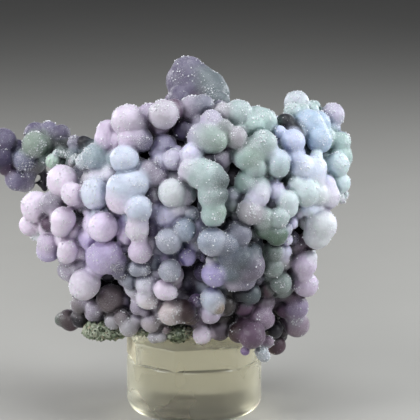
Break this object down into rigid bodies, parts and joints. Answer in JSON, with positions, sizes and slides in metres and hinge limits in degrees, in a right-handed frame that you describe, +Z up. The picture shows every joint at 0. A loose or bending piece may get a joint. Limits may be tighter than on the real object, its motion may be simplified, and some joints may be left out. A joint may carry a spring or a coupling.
{
  "type": "grape agate specimen",
  "caption": "Cluster of small round agate grapes, lilac and grey-green with a violet arm and knob, resting on a clear eight-sided plate over a round clear base.",
  "frame": {"origin": "middle of the round base's underside, on the table", "axes": "+Z up, -Y toward the viewer of the front, +X to that viewer's right, where the violet arm reaches out to -X"},
  "size_m": [0.0688, 0.042, 0.0667],
  "materials": {
    "agate": "waxy, finely sugary, translucent, lilac to grey-green",
    "clear_acrylic": "clear polished acrylic"
  },
  "bodies": {
    "root": {"grape_agate": "agate", "stand_plate": "clear_acrylic", "stand_base": "clear_acrylic"}
  },
  "joints": []
}
